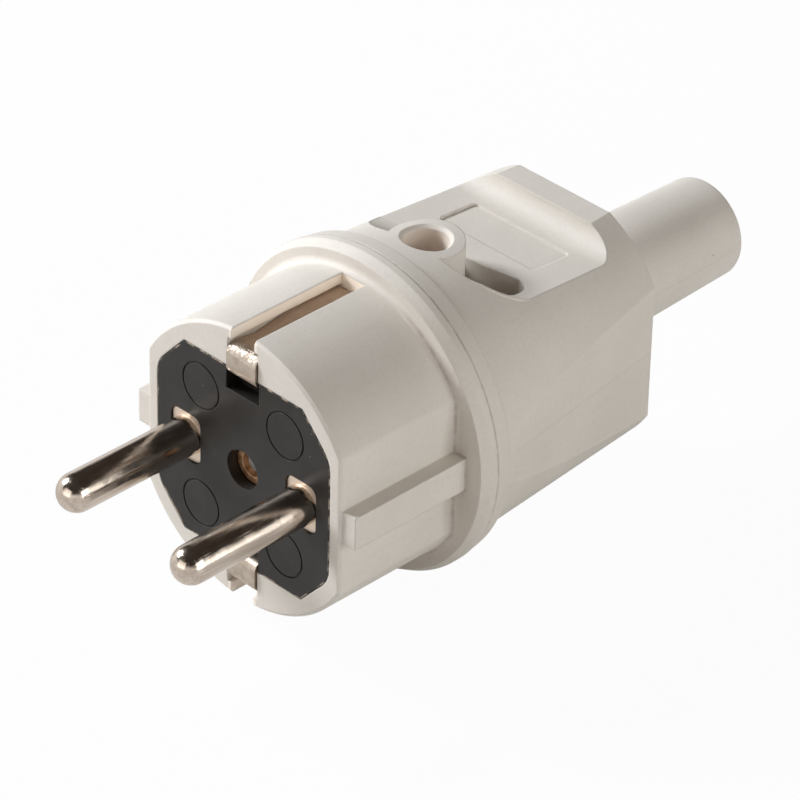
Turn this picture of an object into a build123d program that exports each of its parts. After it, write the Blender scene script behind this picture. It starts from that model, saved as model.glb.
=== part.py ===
from build123d import *
import os

# A straight rewireable mains plug with two round pins and side earth contacts, in millimetres.
# The plug's axis runs along Y: the pins point to -Y, the cable sleeve leaves to +Y, and Z is up.
# The origin is the middle of the contact face, half way between the two pins.

os.makedirs("parts", exist_ok=True)

# Contact pins
PIN_SPACING = 19.0
PIN_DIAMETER = 4.8
PIN_LENGTH = 19.0
PIN_ROOT = 0.5
FOOT_WIDTH = 4.85
FOOT_HEIGHT = 6.4
FOOT_CORNER = 1.2
FOOT_SINK = 0.3
SHOULDER_WIDTH = 6.4
SHOULDER_HEIGHT = 8.6
SHOULDER_START = 2.5
TERMINAL_LENGTH = 8.5

# Black contact plate
PLATE_SIDE_MARGIN = 4.65
PLATE_HALF_HEIGHT = 12.92
PLATE_CUT_WIDTH = 4.5
PLATE_CUT_HEIGHT = 4.92
PLATE_CORNER = 4.0
PLATE_THICK = 5.0
MARK_X = 6.9
MARK_Z = 8.05
MARK_RADIUS = 2.95
MARK_GROOVE = 0.22
NOTCH_ROOM = 0.35
NOTCH_HEIGHT = 3.02
NOTCH_DEPTH = 2.0

# Nose, ribs, flange and spigot of the front housing
RIM_SIDE_WALL = 1.75
RIM_TOP_WALL = 1.58
GROOVE_DEPTH = 3.8
NOSE_LENGTH = 18.0
NOSE_CORNER = 1.2
NOSE_RIM_EDGE = 0.35
NOSE_ROOT = 0.8
RIB_DEPTH = 2.0
RIB_HALF_HEIGHT = 2.15
RIB_START = 0.4
FLANGE_REACH = 2.5
FLANGE_THICK = 2.2
FLANGE_EDGE = 1.6
SEAM_EDGE = 0.25
SPIGOT_STEP = 3.6
SPIGOT_LENGTH = 5.0
BULKHEAD_THICK = 3.5
CAVITY_INSET = 1.0

# Earth strip and the grooves that it runs in
STRIP_WIDTH = 4.7
STRIP_THICK = 0.9
STRIP_INNER_GAP = 0.12
STRIP_LIP_Y = 0.1
STRIP_BEND_DROP = 0.55
STRIP_VALLEY_Y = 4.0
STRIP_VALLEY_GAP = 0.2
STRIP_CREST_Y = 9.5
STRIP_CREST_DROP = 0.35
STRIP_END_GAP = 0.3
GROOVE_HEIGHT = 2.25
GROOVE_LIP = 0.45
GROOVE_STOP = 0.8

# Screws, nuts and clamps
SCREW_RADIUS = 1.5
HEAD_RADIUS = 2.6
HEAD_HEIGHT = 2.0
SLOT_WIDTH = 0.8
SLOT_DEPTH = 1.0
NUT_WIDTH = 5.5
NUT_THICK = 2.4
CLAMP_WIDTH = 6.0
CLAMP_THICK = 0.8
CLAMP_ROOM = 0.5
TERMINAL_SCREW_LENGTH = 5.0
CENTRE_SCREW_LENGTH = 6.5
THREAD_TAIL = 0.6
EARTH_TERMINAL_INSET = 5.42
BUSH_HEAD_RADIUS = 2.4
BUSH_BODY_RADIUS = 2.0
BUSH_SINK = 1.5
BUSH_STEP = 2.7

# Hood: joint ring, tapering body and its hollow
RING_STEP = 0.05
RING_LENGTH = 2.4
RING_TAPER = 0.35
RING_EDGE = 0.3
RING_SHOULDER = 1.42
HOOD_FRONT_FLAT = 0.25
HOOD_LENGTH = 29.4
HOOD_END_RADIUS = 17.45
HOOD_END_HALF_WIDTH = 14.95
HOOD_END_HALF_HEIGHT = 15.8
HOOD_END_EDGE = 0.4
HOOD_WALL = 2.2
SPIGOT_ROOM = 0.2

# Thumb scoop, finger slot, screw boss and label recess on the hood
SCOOP_SETBACK = 4.2
SCOOP_SIDE = 2.55
SCOOP_CORNER = 8.6
SCOOP_DEPTH = 2.55
SCOOP_FALL = 1.3
SCOOP_HEEL = 6.35
SCOOP_RISE_RADIUS = 2.45
SCOOP_RISE_ANGLE = 90.0
SCOOP_BAND_FALL = 0.15
POCKET_SETBACK = 4.4
POCKET_LENGTH = 4.6
POCKET_SIDE = 1.9
POCKET_BOW = 1.2
POCKET_DEPTH = 4.55
POCKET_FLOOR_EDGE = 1.4
BOSS_SETBACK = 2.0
BOSS_RADIUS = 4.55
BOSS_CHAMFER = 0.45
BOSS_SEAT_THICK = 3.2
LABEL_SETBACK = 2.8
LABEL_LENGTH = 6.2
LABEL_HALF_WIDTH = 7.8
LABEL_CORNER = 0.8
LABEL_DEPTH = 0.28

# Tongues behind the bulkhead and the cord grip
UPPER_TONGUE_HALF = 5.0
UPPER_TONGUE_THICK = 4.6
UPPER_TONGUE_TAIL = 4.6
HOOD_NUT_COVER = 0.8
TONGUE_GAP = 0.5
TONGUE_BITE = 0.5
LOWER_TONGUE_HALF = 7.0
LOWER_TONGUE_THICK = 2.5
SADDLE_LENGTH = 6.0
CORD_RADIUS = 4.4
GRIP_SCREW_SIDE = 2.8
GRIP_SIDE = 3.0
GRIP_BAR_CROWN = 1.2
GRIP_NUT_DROP = 3.6

# Cable sleeve
SLEEVE_ROOT_RADIUS = 7.2
SLEEVE_END_RADIUS = 6.45
SLEEVE_LENGTH = 25.4
SLEEVE_BORE = 4.6
SLEEVE_EDGE = 0.7
COLLAR_STEP = 1.8
COLLAR_THICK = 2.2

# Clearances
FIT_GAP = 0.1
THREAD_GAP = 0.05
SCREW_GAP = 0.15
COLLAR_GAP = 0.2

# Stations along Y, heights and radii that follow from the sizes above
PIN_RADIUS = PIN_DIAMETER / 2
PIN_X = PIN_SPACING / 2
PLATE_HALF_WIDTH = PIN_X + PLATE_SIDE_MARGIN
PLATE_TOP_HALF = PLATE_HALF_WIDTH - PLATE_CUT_WIDTH
PLATE_SIDE_HALF = PLATE_HALF_HEIGHT - PLATE_CUT_HEIGHT
NOTCH_HALF_WIDTH = STRIP_WIDTH / 2 + NOTCH_ROOM
NOTCH_FOOT = PLATE_HALF_HEIGHT - NOTCH_HEIGHT
BULKHEAD_BACK = PLATE_THICK + BULKHEAD_THICK
TERMINAL_FACE = BULKHEAD_BACK + TERMINAL_LENGTH
EARTH_TERMINAL_Z = EARTH_TERMINAL_INSET - PLATE_HALF_HEIGHT
GROOVE_FLOOR = PLATE_HALF_HEIGHT + RIM_TOP_WALL
GROOVE_CEILING = GROOVE_FLOOR + GROOVE_HEIGHT
GROOVE_WIDTH = STRIP_WIDTH + 2 * SCREW_GAP
GROOVE_OPENING = STRIP_WIDTH - 2 * GROOVE_LIP
GROOVE_END = NOSE_LENGTH - GROOVE_STOP
NOSE_RADIUS = GROOVE_FLOOR + GROOVE_DEPTH
NOSE_FLAT = PLATE_HALF_WIDTH + RIM_SIDE_WALL
RIB_REACH = NOSE_FLAT + RIB_DEPTH
FLANGE_RADIUS = NOSE_RADIUS + FLANGE_REACH
FLANGE_BACK = NOSE_LENGTH + FLANGE_THICK
SPIGOT_RADIUS = FLANGE_RADIUS - SPIGOT_STEP
SPIGOT_END = FLANGE_BACK + SPIGOT_LENGTH
CAVITY_HALF_HEIGHT = PLATE_HALF_HEIGHT - CAVITY_INSET
STRIP_INNER_Z = PLATE_HALF_HEIGHT - STRIP_INNER_GAP - STRIP_THICK / 2
STRIP_BEND_Z = GROOVE_CEILING - STRIP_BEND_DROP - STRIP_THICK / 2
STRIP_VALLEY_Z = GROOVE_FLOOR + STRIP_VALLEY_GAP + STRIP_THICK / 2
STRIP_CREST_Z = GROOVE_CEILING - STRIP_CREST_DROP - STRIP_THICK / 2
STRIP_BAR_Y = PLATE_THICK + STRIP_THICK / 2
STRIP_BACK = PLATE_THICK + STRIP_THICK
STRIP_END_Y = GROOVE_END - STRIP_END_GAP
LIP_SEAT = STRIP_LIP_Y + STRIP_THICK / 2 + SCREW_GAP
SCREW_HOLE = SCREW_RADIUS + SCREW_GAP
THREAD_HOLE = SCREW_RADIUS + THREAD_GAP
RING_RADIUS = FLANGE_RADIUS - RING_STEP
RING_END = FLANGE_BACK + RING_LENGTH
HOOD_FRONT_RADIUS = RING_RADIUS - RING_SHOULDER
HOOD_END = RING_END + HOOD_LENGTH
HOOD_BORE_END = SPIGOT_END + SPIGOT_ROOM
HOOD_WALL_FACE = HOOD_END - HOOD_WALL
SCOOP_FRONT = RING_END + SCOOP_SETBACK
SCOOP_HALF_WIDTH = HOOD_END_HALF_WIDTH - SCOOP_SIDE
SCOOP_LOW_Y = HOOD_END - SCOOP_HEEL
SCOOP_LOW_Z = HOOD_END_HALF_HEIGHT - SCOOP_DEPTH
SCOOP_HIGH_Z = SCOOP_LOW_Z + SCOOP_FALL
POCKET_FRONT = SCOOP_FRONT + POCKET_SETBACK
POCKET_BACK = POCKET_FRONT + POCKET_LENGTH
POCKET_REACH = SCOOP_HALF_WIDTH - POCKET_SIDE
POCKET_FLOOR = SCOOP_HIGH_Z - POCKET_DEPTH
BOSS_Y = SCOOP_FRONT + BOSS_SETBACK
BOSS_BORE = HEAD_RADIUS + SCREW_GAP
LOW_CEILING = POCKET_FLOOR - HOOD_WALL
HIGH_CEILING = SCOOP_LOW_Z - HOOD_WALL
CEILING_STEP = POCKET_BACK + HOOD_WALL
BOSS_SEAT_Z = LOW_CEILING + BOSS_SEAT_THICK
LABEL_FRONT = POCKET_BACK + LABEL_SETBACK
LABEL_BACK = LABEL_FRONT + LABEL_LENGTH
TONGUE_START = TERMINAL_FACE + TONGUE_GAP
TONGUE_ROOT_Z = CAVITY_HALF_HEIGHT + TONGUE_BITE
UPPER_TONGUE_FOOT = LOW_CEILING - UPPER_TONGUE_THICK
UPPER_TONGUE_END = BOSS_Y + UPPER_TONGUE_TAIL
HOOD_NUT_Z = LOW_CEILING - HOOD_NUT_COVER - NUT_THICK
HOOD_SCREW_LENGTH = BOSS_SEAT_Z - HOOD_NUT_Z + THREAD_TAIL
LOWER_TONGUE_FOOT = -TONGUE_ROOT_Z
LOWER_TONGUE_TOP = LOWER_TONGUE_FOOT + LOWER_TONGUE_THICK
SADDLE_END = HOOD_WALL_FACE - COLLAR_THICK - COLLAR_GAP
SADDLE_START = SADDLE_END - SADDLE_LENGTH
SADDLE_MIDDLE = SADDLE_END - SADDLE_LENGTH / 2
GRIP_SCREW_X = CORD_RADIUS + GRIP_SCREW_SIDE
SADDLE_HALF_WIDTH = GRIP_SCREW_X + GRIP_SIDE
GRIP_BAR_HEIGHT = CORD_RADIUS + GRIP_BAR_CROWN
GRIP_NUT_Z = -CORD_RADIUS - GRIP_NUT_DROP
GRIP_SCREW_LENGTH = GRIP_BAR_HEIGHT - GRIP_NUT_Z + THREAD_TAIL
COLLAR_RADIUS = SLEEVE_ROOT_RADIUS + COLLAR_STEP
SLEEVE_END = HOOD_END + SLEEVE_LENGTH
SIDES = (("left", -PIN_X), ("right", PIN_X))


def across(station):
    """Plane across the plug's axis: X to the right, Z up. A negative amount runs backwards, to +Y."""
    return Plane.XZ.offset(-station)


def facing_back(x, station, z):
    """Plane that faces +Y at a point, for holes drilled from behind."""
    return Plane(origin=(x, station, z), x_dir=(-1, 0, 0), z_dir=(0, 1, 0))


def facing_front(x, station, z):
    """Plane that faces -Y at a point, for holes drilled from the front."""
    return Plane(origin=(x, station, z), x_dir=(1, 0, 0), z_dir=(0, -1, 0))


def plate_outline(grow):
    """Outline of the contact plate, grown or shrunk evenly."""
    with BuildSketch() as outline:
        with BuildLine():
            Polyline(
                (PLATE_TOP_HALF, PLATE_HALF_HEIGHT),
                (PLATE_HALF_WIDTH, PLATE_SIDE_HALF),
                (PLATE_HALF_WIDTH, -PLATE_SIDE_HALF),
                (PLATE_TOP_HALF, -PLATE_HALF_HEIGHT),
                (-PLATE_TOP_HALF, -PLATE_HALF_HEIGHT),
                (-PLATE_HALF_WIDTH, -PLATE_SIDE_HALF),
                (-PLATE_HALF_WIDTH, PLATE_SIDE_HALF),
                (-PLATE_TOP_HALF, PLATE_HALF_HEIGHT),
                close=True,
            )
        make_face()
        ends = outline.vertices().group_by(Axis.X)
        fillet(ends[0] + ends[-1], PLATE_CORNER)
        if grow:
            offset(amount=grow, kind=Kind.INTERSECTION)
    return outline.sketch


def hood_body(shrink):
    """Round tapering body of the hood with flats on its sides and below, set in from the outside."""
    front = HOOD_FRONT_RADIUS - shrink
    front_flat = front - HOOD_FRONT_FLAT
    end_radius = HOOD_END_RADIUS - shrink
    end_width = HOOD_END_HALF_WIDTH - shrink
    end_height = HOOD_END_HALF_HEIGHT - shrink
    with BuildPart() as body:
        with BuildSketch(Plane.XY):
            with BuildLine():
                Polyline((0, RING_END), (front, RING_END), (end_radius, HOOD_END), (0, HOOD_END), close=True)
            make_face()
        revolve(axis=Axis.Y)
        with BuildSketch(Plane.XY):
            with BuildLine():
                Polyline(
                    (-front_flat, RING_END),
                    (front_flat, RING_END),
                    (end_width, HOOD_END),
                    (-end_width, HOOD_END),
                    close=True,
                )
            make_face()
        extrude(amount=2 * front, both=True, mode=Mode.INTERSECT)
        with BuildSketch(Plane.YZ):
            with BuildLine():
                Polyline(
                    (RING_END, -front_flat),
                    (HOOD_END, -end_height),
                    (HOOD_END, 2 * front),
                    (RING_END, 2 * front),
                    close=True,
                )
            make_face()
        extrude(amount=2 * front, both=True, mode=Mode.INTERSECT)
    return body.part


def slotted_screw(length):
    """Cheese-head screw with its head's seat at the origin, its thread along -Z."""
    with BuildPart() as screw:
        with BuildSketch():
            Circle(HEAD_RADIUS)
        extrude(amount=HEAD_HEIGHT)
        chamfer(screw.faces().sort_by(Axis.Z)[-1].edges(), HEAD_HEIGHT / 8)
        with BuildSketch():
            Circle(SCREW_RADIUS)
        extrude(amount=-length)
        chamfer(screw.faces().sort_by(Axis.Z)[0].edges(), SCREW_RADIUS / 4)
        with BuildSketch(Plane.XY.offset(HEAD_HEIGHT)):
            Rectangle(3 * HEAD_RADIUS, SLOT_WIDTH)
        extrude(amount=-SLOT_DEPTH, mode=Mode.SUBTRACT)
    return screw.part


def square_nut():
    """Square nut that stands on the origin, its thread along Z."""
    with BuildPart() as nut:
        with BuildSketch():
            Rectangle(NUT_WIDTH, NUT_WIDTH)
            Circle(THREAD_HOLE, mode=Mode.SUBTRACT)
        extrude(amount=NUT_THICK)
        chamfer(nut.edges().filter_by(Axis.Z), NUT_WIDTH / 14)
    return nut.part


# Contact plate: slots for the pins, a stepped hole for the bush, notches for the earth strip
with BuildPart() as contact_plate:
    with BuildSketch(across(0)):
        add(plate_outline(0))
    extrude(amount=-PLATE_THICK)
    with BuildSketch(across(0)):
        with Locations((-PIN_X, 0), (PIN_X, 0)):
            RectangleRounded(FOOT_WIDTH + FIT_GAP, FOOT_HEIGHT + FIT_GAP, FOOT_CORNER)
    extrude(amount=-PLATE_THICK, mode=Mode.SUBTRACT)
    with BuildSketch(across(SHOULDER_START)):
        with Locations((-PIN_X, 0), (PIN_X, 0)):
            RectangleRounded(SHOULDER_WIDTH + FIT_GAP, SHOULDER_HEIGHT + FIT_GAP, FOOT_CORNER)
    extrude(amount=-PLATE_THICK, mode=Mode.SUBTRACT)
    with Locations(facing_front(0, 0, 0)):
        CounterBoreHole(BUSH_BODY_RADIUS + THREAD_GAP, BUSH_HEAD_RADIUS + FIT_GAP, BUSH_STEP)
    with BuildSketch(across(0)):
        with Locations((0, NOTCH_FOOT), (0, -NOTCH_FOOT)):
            Rectangle(2 * NOTCH_HALF_WIDTH, 2 * (PLATE_HALF_HEIGHT - NOTCH_FOOT))
        Rectangle(2 * NOTCH_HALF_WIDTH, 2 * NOTCH_FOOT, mode=Mode.SUBTRACT)
    extrude(amount=-NOTCH_DEPTH, mode=Mode.SUBTRACT)
    passage_foot = STRIP_INNER_Z - STRIP_THICK - FIT_GAP
    with BuildSketch(across(0)):
        Rectangle(2 * NOTCH_HALF_WIDTH, 4 * PLATE_HALF_HEIGHT)
        Rectangle(2 * NOTCH_HALF_WIDTH, 2 * passage_foot, mode=Mode.SUBTRACT)
    extrude(amount=-PLATE_THICK, mode=Mode.SUBTRACT)
    with BuildSketch(across(PLATE_THICK)):
        with Locations((0, EARTH_TERMINAL_Z)):
            Rectangle(NUT_WIDTH + 2 * FIT_GAP, NUT_WIDTH + 2 * FIT_GAP)
    extrude(amount=NUT_THICK + FIT_GAP, mode=Mode.SUBTRACT)
    with Locations(facing_back(0, PLATE_THICK, EARTH_TERMINAL_Z)):
        Hole(SCREW_HOLE, depth=TERMINAL_SCREW_LENGTH - CLAMP_THICK - STRIP_THICK + 2 * FIT_GAP)
    with BuildSketch(across(0)):
        with Locations((MARK_X, MARK_Z), (-MARK_X, MARK_Z), (MARK_X, -MARK_Z), (-MARK_X, -MARK_Z)):
            Circle(MARK_RADIUS + MARK_GROOVE / 2)
            Circle(MARK_RADIUS - MARK_GROOVE / 2, mode=Mode.SUBTRACT)
    extrude(amount=-MARK_GROOVE, mode=Mode.SUBTRACT)
contact_plate.part.label = "contact_plate"
export_step(contact_plate.part, "parts/contact_plate.step")

# Pins: a round rod with a domed end on a flat foot, a shoulder and a terminal block, all one piece
for side, pin_x in SIDES:
    pin_name = f"pin_{side}"
    with BuildPart() as pin:
        with BuildSketch(Plane.XY):
            with BuildLine():
                dome = CenterArc((pin_x, PIN_RADIUS - PIN_LENGTH), PIN_RADIUS, -90, 90)
                root_start = (pin_x + PIN_RADIUS, -PIN_ROOT)
                root_end = (pin_x + FOOT_WIDTH / 2, FOOT_SINK)
                Polyline(dome @ 1, root_start, root_end, (pin_x, FOOT_SINK), dome @ 0)
            make_face()
        revolve(axis=Axis((pin_x, 0, 0), (0, 1, 0)))
        with BuildSketch(across(FOOT_SINK)):
            with Locations((pin_x, 0)):
                RectangleRounded(FOOT_WIDTH, FOOT_HEIGHT, FOOT_CORNER)
        extrude(amount=FOOT_SINK - TERMINAL_FACE)
        with BuildSketch(across(SHOULDER_START)):
            with Locations((pin_x, 0)):
                RectangleRounded(SHOULDER_WIDTH, SHOULDER_HEIGHT, FOOT_CORNER)
        extrude(amount=SHOULDER_START - PLATE_THICK)
        with Locations(facing_back(pin_x, TERMINAL_FACE, 0)):
            Hole(THREAD_HOLE, depth=TERMINAL_SCREW_LENGTH)
    pin.part.label = pin_name
    export_step(pin.part, f"parts/{pin_name}.step")

# Earth bracket: one strip bent round the rim at the top and bottom, with a spring in each groove
with BuildPart() as earth_bracket:
    with BuildSketch(Plane.YZ):
        with BuildLine() as strip_line:
            FilletPolyline(
                (STRIP_END_Y, -STRIP_CREST_Z),
                (STRIP_CREST_Y, -STRIP_CREST_Z),
                (STRIP_VALLEY_Y, -STRIP_VALLEY_Z),
                (STRIP_LIP_Y, -STRIP_BEND_Z),
                (STRIP_LIP_Y, -STRIP_INNER_Z),
                (STRIP_BAR_Y, -STRIP_INNER_Z),
                (STRIP_BAR_Y, STRIP_INNER_Z),
                (STRIP_LIP_Y, STRIP_INNER_Z),
                (STRIP_LIP_Y, STRIP_BEND_Z),
                (STRIP_VALLEY_Y, STRIP_VALLEY_Z),
                (STRIP_CREST_Y, STRIP_CREST_Z),
                (STRIP_END_Y, STRIP_CREST_Z),
                radius=STRIP_THICK,
            )
        trace(line_width=STRIP_THICK)
    extrude(amount=STRIP_WIDTH / 2, both=True)
    with Locations(facing_back(0, STRIP_BACK, 0), facing_back(0, STRIP_BACK, EARTH_TERMINAL_Z)):
        Hole(SCREW_HOLE, depth=2 * STRIP_THICK)
earth_bracket.part.label = "earth_bracket"
export_step(earth_bracket.part, "parts/earth_bracket.step")

# Centre bush: a threaded bush whose head draws the plate back
with BuildPart() as centre_bush:
    with BuildSketch(across(BUSH_SINK)):
        Circle(BUSH_HEAD_RADIUS)
    extrude(amount=BUSH_SINK - BUSH_STEP)
    with BuildSketch(across(BUSH_STEP)):
        Circle(BUSH_BODY_RADIUS)
    extrude(amount=BUSH_STEP - PLATE_THICK)
    with Locations(facing_front(0, BUSH_SINK, 0)):
        Hole(THREAD_HOLE)
centre_bush.part.label = "centre_bush"
export_step(centre_bush.part, "parts/centre_bush.step")

# Front housing: nose and flange, hollowed from both ends, with two tongues behind the bulkhead
with BuildPart() as front_housing:
    with BuildSketch(across(0)) as nose_section:
        Circle(NOSE_RADIUS)
        Rectangle(2 * NOSE_FLAT, 2 * NOSE_RADIUS, mode=Mode.INTERSECT)
        fillet(nose_section.vertices(), NOSE_CORNER)
    extrude(amount=-NOSE_LENGTH)
    chamfer(front_housing.faces().sort_by(Axis.Y)[0].edges(), NOSE_RIM_EDGE)
    with BuildSketch(Plane.XY) as flange_profile:
        with BuildLine():
            Polyline(
                (0, NOSE_LENGTH),
                (FLANGE_RADIUS, NOSE_LENGTH),
                (FLANGE_RADIUS, FLANGE_BACK),
                (SPIGOT_RADIUS, FLANGE_BACK),
                (SPIGOT_RADIUS, SPIGOT_END),
                (0, SPIGOT_END),
                close=True,
            )
        make_face()
        rim = flange_profile.vertices().group_by(Axis.X)[-1].sort_by(Axis.Y)
        fillet(rim[0], FLANGE_EDGE)
        chamfer(rim[1], SEAM_EDGE)
    revolve(axis=Axis.Y)
    root = front_housing.edges().filter_by_position(Axis.Y, NOSE_LENGTH, NOSE_LENGTH)
    fillet(root.filter_by(lambda edge: edge.bounding_box().max.X < NOSE_RADIUS), NOSE_ROOT)
    with BuildSketch(across(RIB_START)):
        Rectangle(2 * RIB_REACH, 2 * RIB_HALF_HEIGHT)
    extrude(amount=RIB_START - NOSE_LENGTH)
    with BuildSketch(across(0)):
        add(plate_outline(FIT_GAP))
    extrude(amount=-PLATE_THICK, mode=Mode.SUBTRACT)
    with BuildSketch(across(BULKHEAD_BACK)):
        add(plate_outline(-CAVITY_INSET))
    extrude(amount=BULKHEAD_BACK - SPIGOT_END, mode=Mode.SUBTRACT)
    with BuildSketch(across(PLATE_THICK)):
        with Locations((-PIN_X, 0), (PIN_X, 0)):
            RectangleRounded(FOOT_WIDTH + FIT_GAP, FOOT_HEIGHT + FIT_GAP, FOOT_CORNER)
        with Locations((0, EARTH_TERMINAL_Z)):
            Rectangle(CLAMP_WIDTH + 2 * CLAMP_ROOM, CLAMP_WIDTH + 2 * CLAMP_ROOM)
        Circle(SCREW_HOLE)
    extrude(amount=-BULKHEAD_THICK, mode=Mode.SUBTRACT)
    with BuildSketch(across(PLATE_THICK)):
        Rectangle(STRIP_WIDTH + 2 * FIT_GAP, 2 * PLATE_HALF_HEIGHT)
    extrude(amount=-STRIP_THICK, mode=Mode.SUBTRACT)
    with BuildSketch(across(0)):
        with Locations((0, GROOVE_FLOOR + GROOVE_HEIGHT / 2), (0, -GROOVE_FLOOR - GROOVE_HEIGHT / 2)):
            Rectangle(GROOVE_WIDTH, GROOVE_HEIGHT)
        with Locations((0, NOSE_RADIUS), (0, -NOSE_RADIUS)):
            Rectangle(GROOVE_OPENING, 2 * GROOVE_DEPTH)
    extrude(amount=-GROOVE_END, mode=Mode.SUBTRACT)
    with BuildSketch(across(0)):
        Rectangle(GROOVE_WIDTH, 2 * GROOVE_CEILING)
        Rectangle(GROOVE_WIDTH, 2 * PLATE_HALF_HEIGHT, mode=Mode.SUBTRACT)
    extrude(amount=-LIP_SEAT, mode=Mode.SUBTRACT)
    with BuildSketch(Plane.YZ):
        with BuildLine():
            Polyline(
                (TONGUE_START, UPPER_TONGUE_FOOT),
                (UPPER_TONGUE_END, UPPER_TONGUE_FOOT),
                (UPPER_TONGUE_END, LOW_CEILING),
                (SPIGOT_END, LOW_CEILING),
                (SPIGOT_END, TONGUE_ROOT_Z),
                (TONGUE_START, TONGUE_ROOT_Z),
                close=True,
            )
        make_face()
    extrude(amount=UPPER_TONGUE_HALF, both=True)
    with BuildSketch(Plane.XY.offset(LOWER_TONGUE_FOOT)):
        with Locations((0, TONGUE_START)):
            Rectangle(2 * LOWER_TONGUE_HALF, SADDLE_END - TONGUE_START, align=(Align.CENTER, Align.MIN))
    extrude(amount=LOWER_TONGUE_THICK)
    with BuildSketch(across(SADDLE_START)):
        Rectangle(2 * SADDLE_HALF_WIDTH, -LOWER_TONGUE_TOP, align=(Align.CENTER, Align.MAX))
        Circle(CORD_RADIUS, mode=Mode.SUBTRACT)
    extrude(amount=-SADDLE_LENGTH)
    nut_room = NUT_WIDTH + 2 * FIT_GAP
    with BuildSketch(Plane.XY.offset(GRIP_NUT_Z - FIT_GAP)):
        with Locations((GRIP_SCREW_X + NUT_WIDTH, SADDLE_MIDDLE), (-GRIP_SCREW_X - NUT_WIDTH, SADDLE_MIDDLE)):
            Rectangle(nut_room + 2 * NUT_WIDTH, nut_room)
    extrude(amount=NUT_THICK + 2 * FIT_GAP, mode=Mode.SUBTRACT)
    with Locations((GRIP_SCREW_X, SADDLE_MIDDLE, 0), (-GRIP_SCREW_X, SADDLE_MIDDLE, 0)):
        Hole(SCREW_HOLE, depth=GRIP_SCREW_LENGTH - GRIP_BAR_HEIGHT + FIT_GAP)
    with BuildSketch(Plane.XY.offset(HOOD_NUT_Z - FIT_GAP)):
        with Locations((0, BOSS_Y + NUT_WIDTH)):
            Rectangle(nut_room, nut_room + 2 * NUT_WIDTH)
    extrude(amount=NUT_THICK + 2 * FIT_GAP, mode=Mode.SUBTRACT)
    with Locations((0, BOSS_Y, LOW_CEILING)):
        Hole(SCREW_HOLE, depth=LOW_CEILING - UPPER_TONGUE_FOOT)
front_housing.part.label = "front_housing"
export_step(front_housing.part, "parts/front_housing.step")

# Space inside the hood: the inner form, kept below the scoop's floor
with BuildPart() as hood_space:
    add(hood_body(HOOD_WALL))
    with BuildSketch(Plane.YZ):
        with BuildLine():
            Polyline(
                (HOOD_BORE_END, -2 * HOOD_FRONT_RADIUS),
                (HOOD_BORE_END, LOW_CEILING),
                (CEILING_STEP, LOW_CEILING),
                (CEILING_STEP, HIGH_CEILING),
                (HOOD_WALL_FACE, HIGH_CEILING),
                (HOOD_WALL_FACE, -2 * HOOD_FRONT_RADIUS),
                close=True,
            )
        make_face()
    extrude(amount=2 * HOOD_FRONT_RADIUS, both=True, mode=Mode.INTERSECT)

# Space of the thumb scoop and of the finger slot in its floor, with the boss left standing
with BuildPart() as scoop_space:
    with BuildSketch(Plane.YZ):
        with BuildLine():
            floor = Line((SCOOP_FRONT, SCOOP_HIGH_Z), (SCOOP_LOW_Y, SCOOP_LOW_Z))
            rise = JernArc(floor @ 1, floor % 1, SCOOP_RISE_RADIUS, SCOOP_RISE_ANGLE)
            Polyline(
                rise @ 1,
                ((rise @ 1).X, HOOD_END_HALF_HEIGHT + SCOOP_BAND_FALL),
                (HOOD_END + HOOD_WALL, HOOD_END_HALF_HEIGHT),
                (HOOD_END + HOOD_WALL, 2 * HOOD_FRONT_RADIUS),
                (SCOOP_FRONT, 2 * HOOD_FRONT_RADIUS),
                (SCOOP_FRONT, SCOOP_HIGH_Z),
            )
        make_face()
    extrude(amount=SCOOP_HALF_WIDTH, both=True)
    front_corners = scoop_space.edges().filter_by(Axis.Z).group_by(Axis.Y)[0]
    fillet(front_corners, SCOOP_CORNER)
    with BuildSketch(Plane.XY.offset(BOSS_SEAT_Z)):
        with Locations((0, BOSS_Y)):
            Circle(BOSS_RADIUS)
    extrude(amount=2 * HOOD_FRONT_RADIUS, mode=Mode.SUBTRACT)

with BuildPart() as slot_space:
    with BuildSketch(Plane.XY.offset(POCKET_FLOOR)):
        with BuildLine():
            far_half = (POCKET_BACK - POCKET_FRONT) / 2
            near_half = far_half - POCKET_BOW / 2
            end_x = POCKET_REACH - far_half
            Line((0, POCKET_FRONT), (end_x, POCKET_FRONT))
            ThreePointArc((end_x, POCKET_FRONT), (POCKET_REACH, POCKET_FRONT + far_half), (end_x, POCKET_BACK))
            TangentArc((0, POCKET_BACK - POCKET_BOW), (end_x, POCKET_BACK), tangent=(1, 0))
            ThreePointArc((0, POCKET_BACK - POCKET_BOW), (-near_half, POCKET_FRONT + near_half), (0, POCKET_FRONT))
        make_face()
    extrude(amount=HOOD_FRONT_RADIUS)
    fillet(slot_space.faces().sort_by(Axis.Z)[0].edges(), POCKET_FLOOR_EDGE)
    with BuildSketch(Plane.XY.offset(POCKET_FLOOR)):
        with Locations((0, BOSS_Y)):
            Circle(BOSS_RADIUS)
    extrude(amount=HOOD_FRONT_RADIUS, mode=Mode.SUBTRACT)

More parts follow.
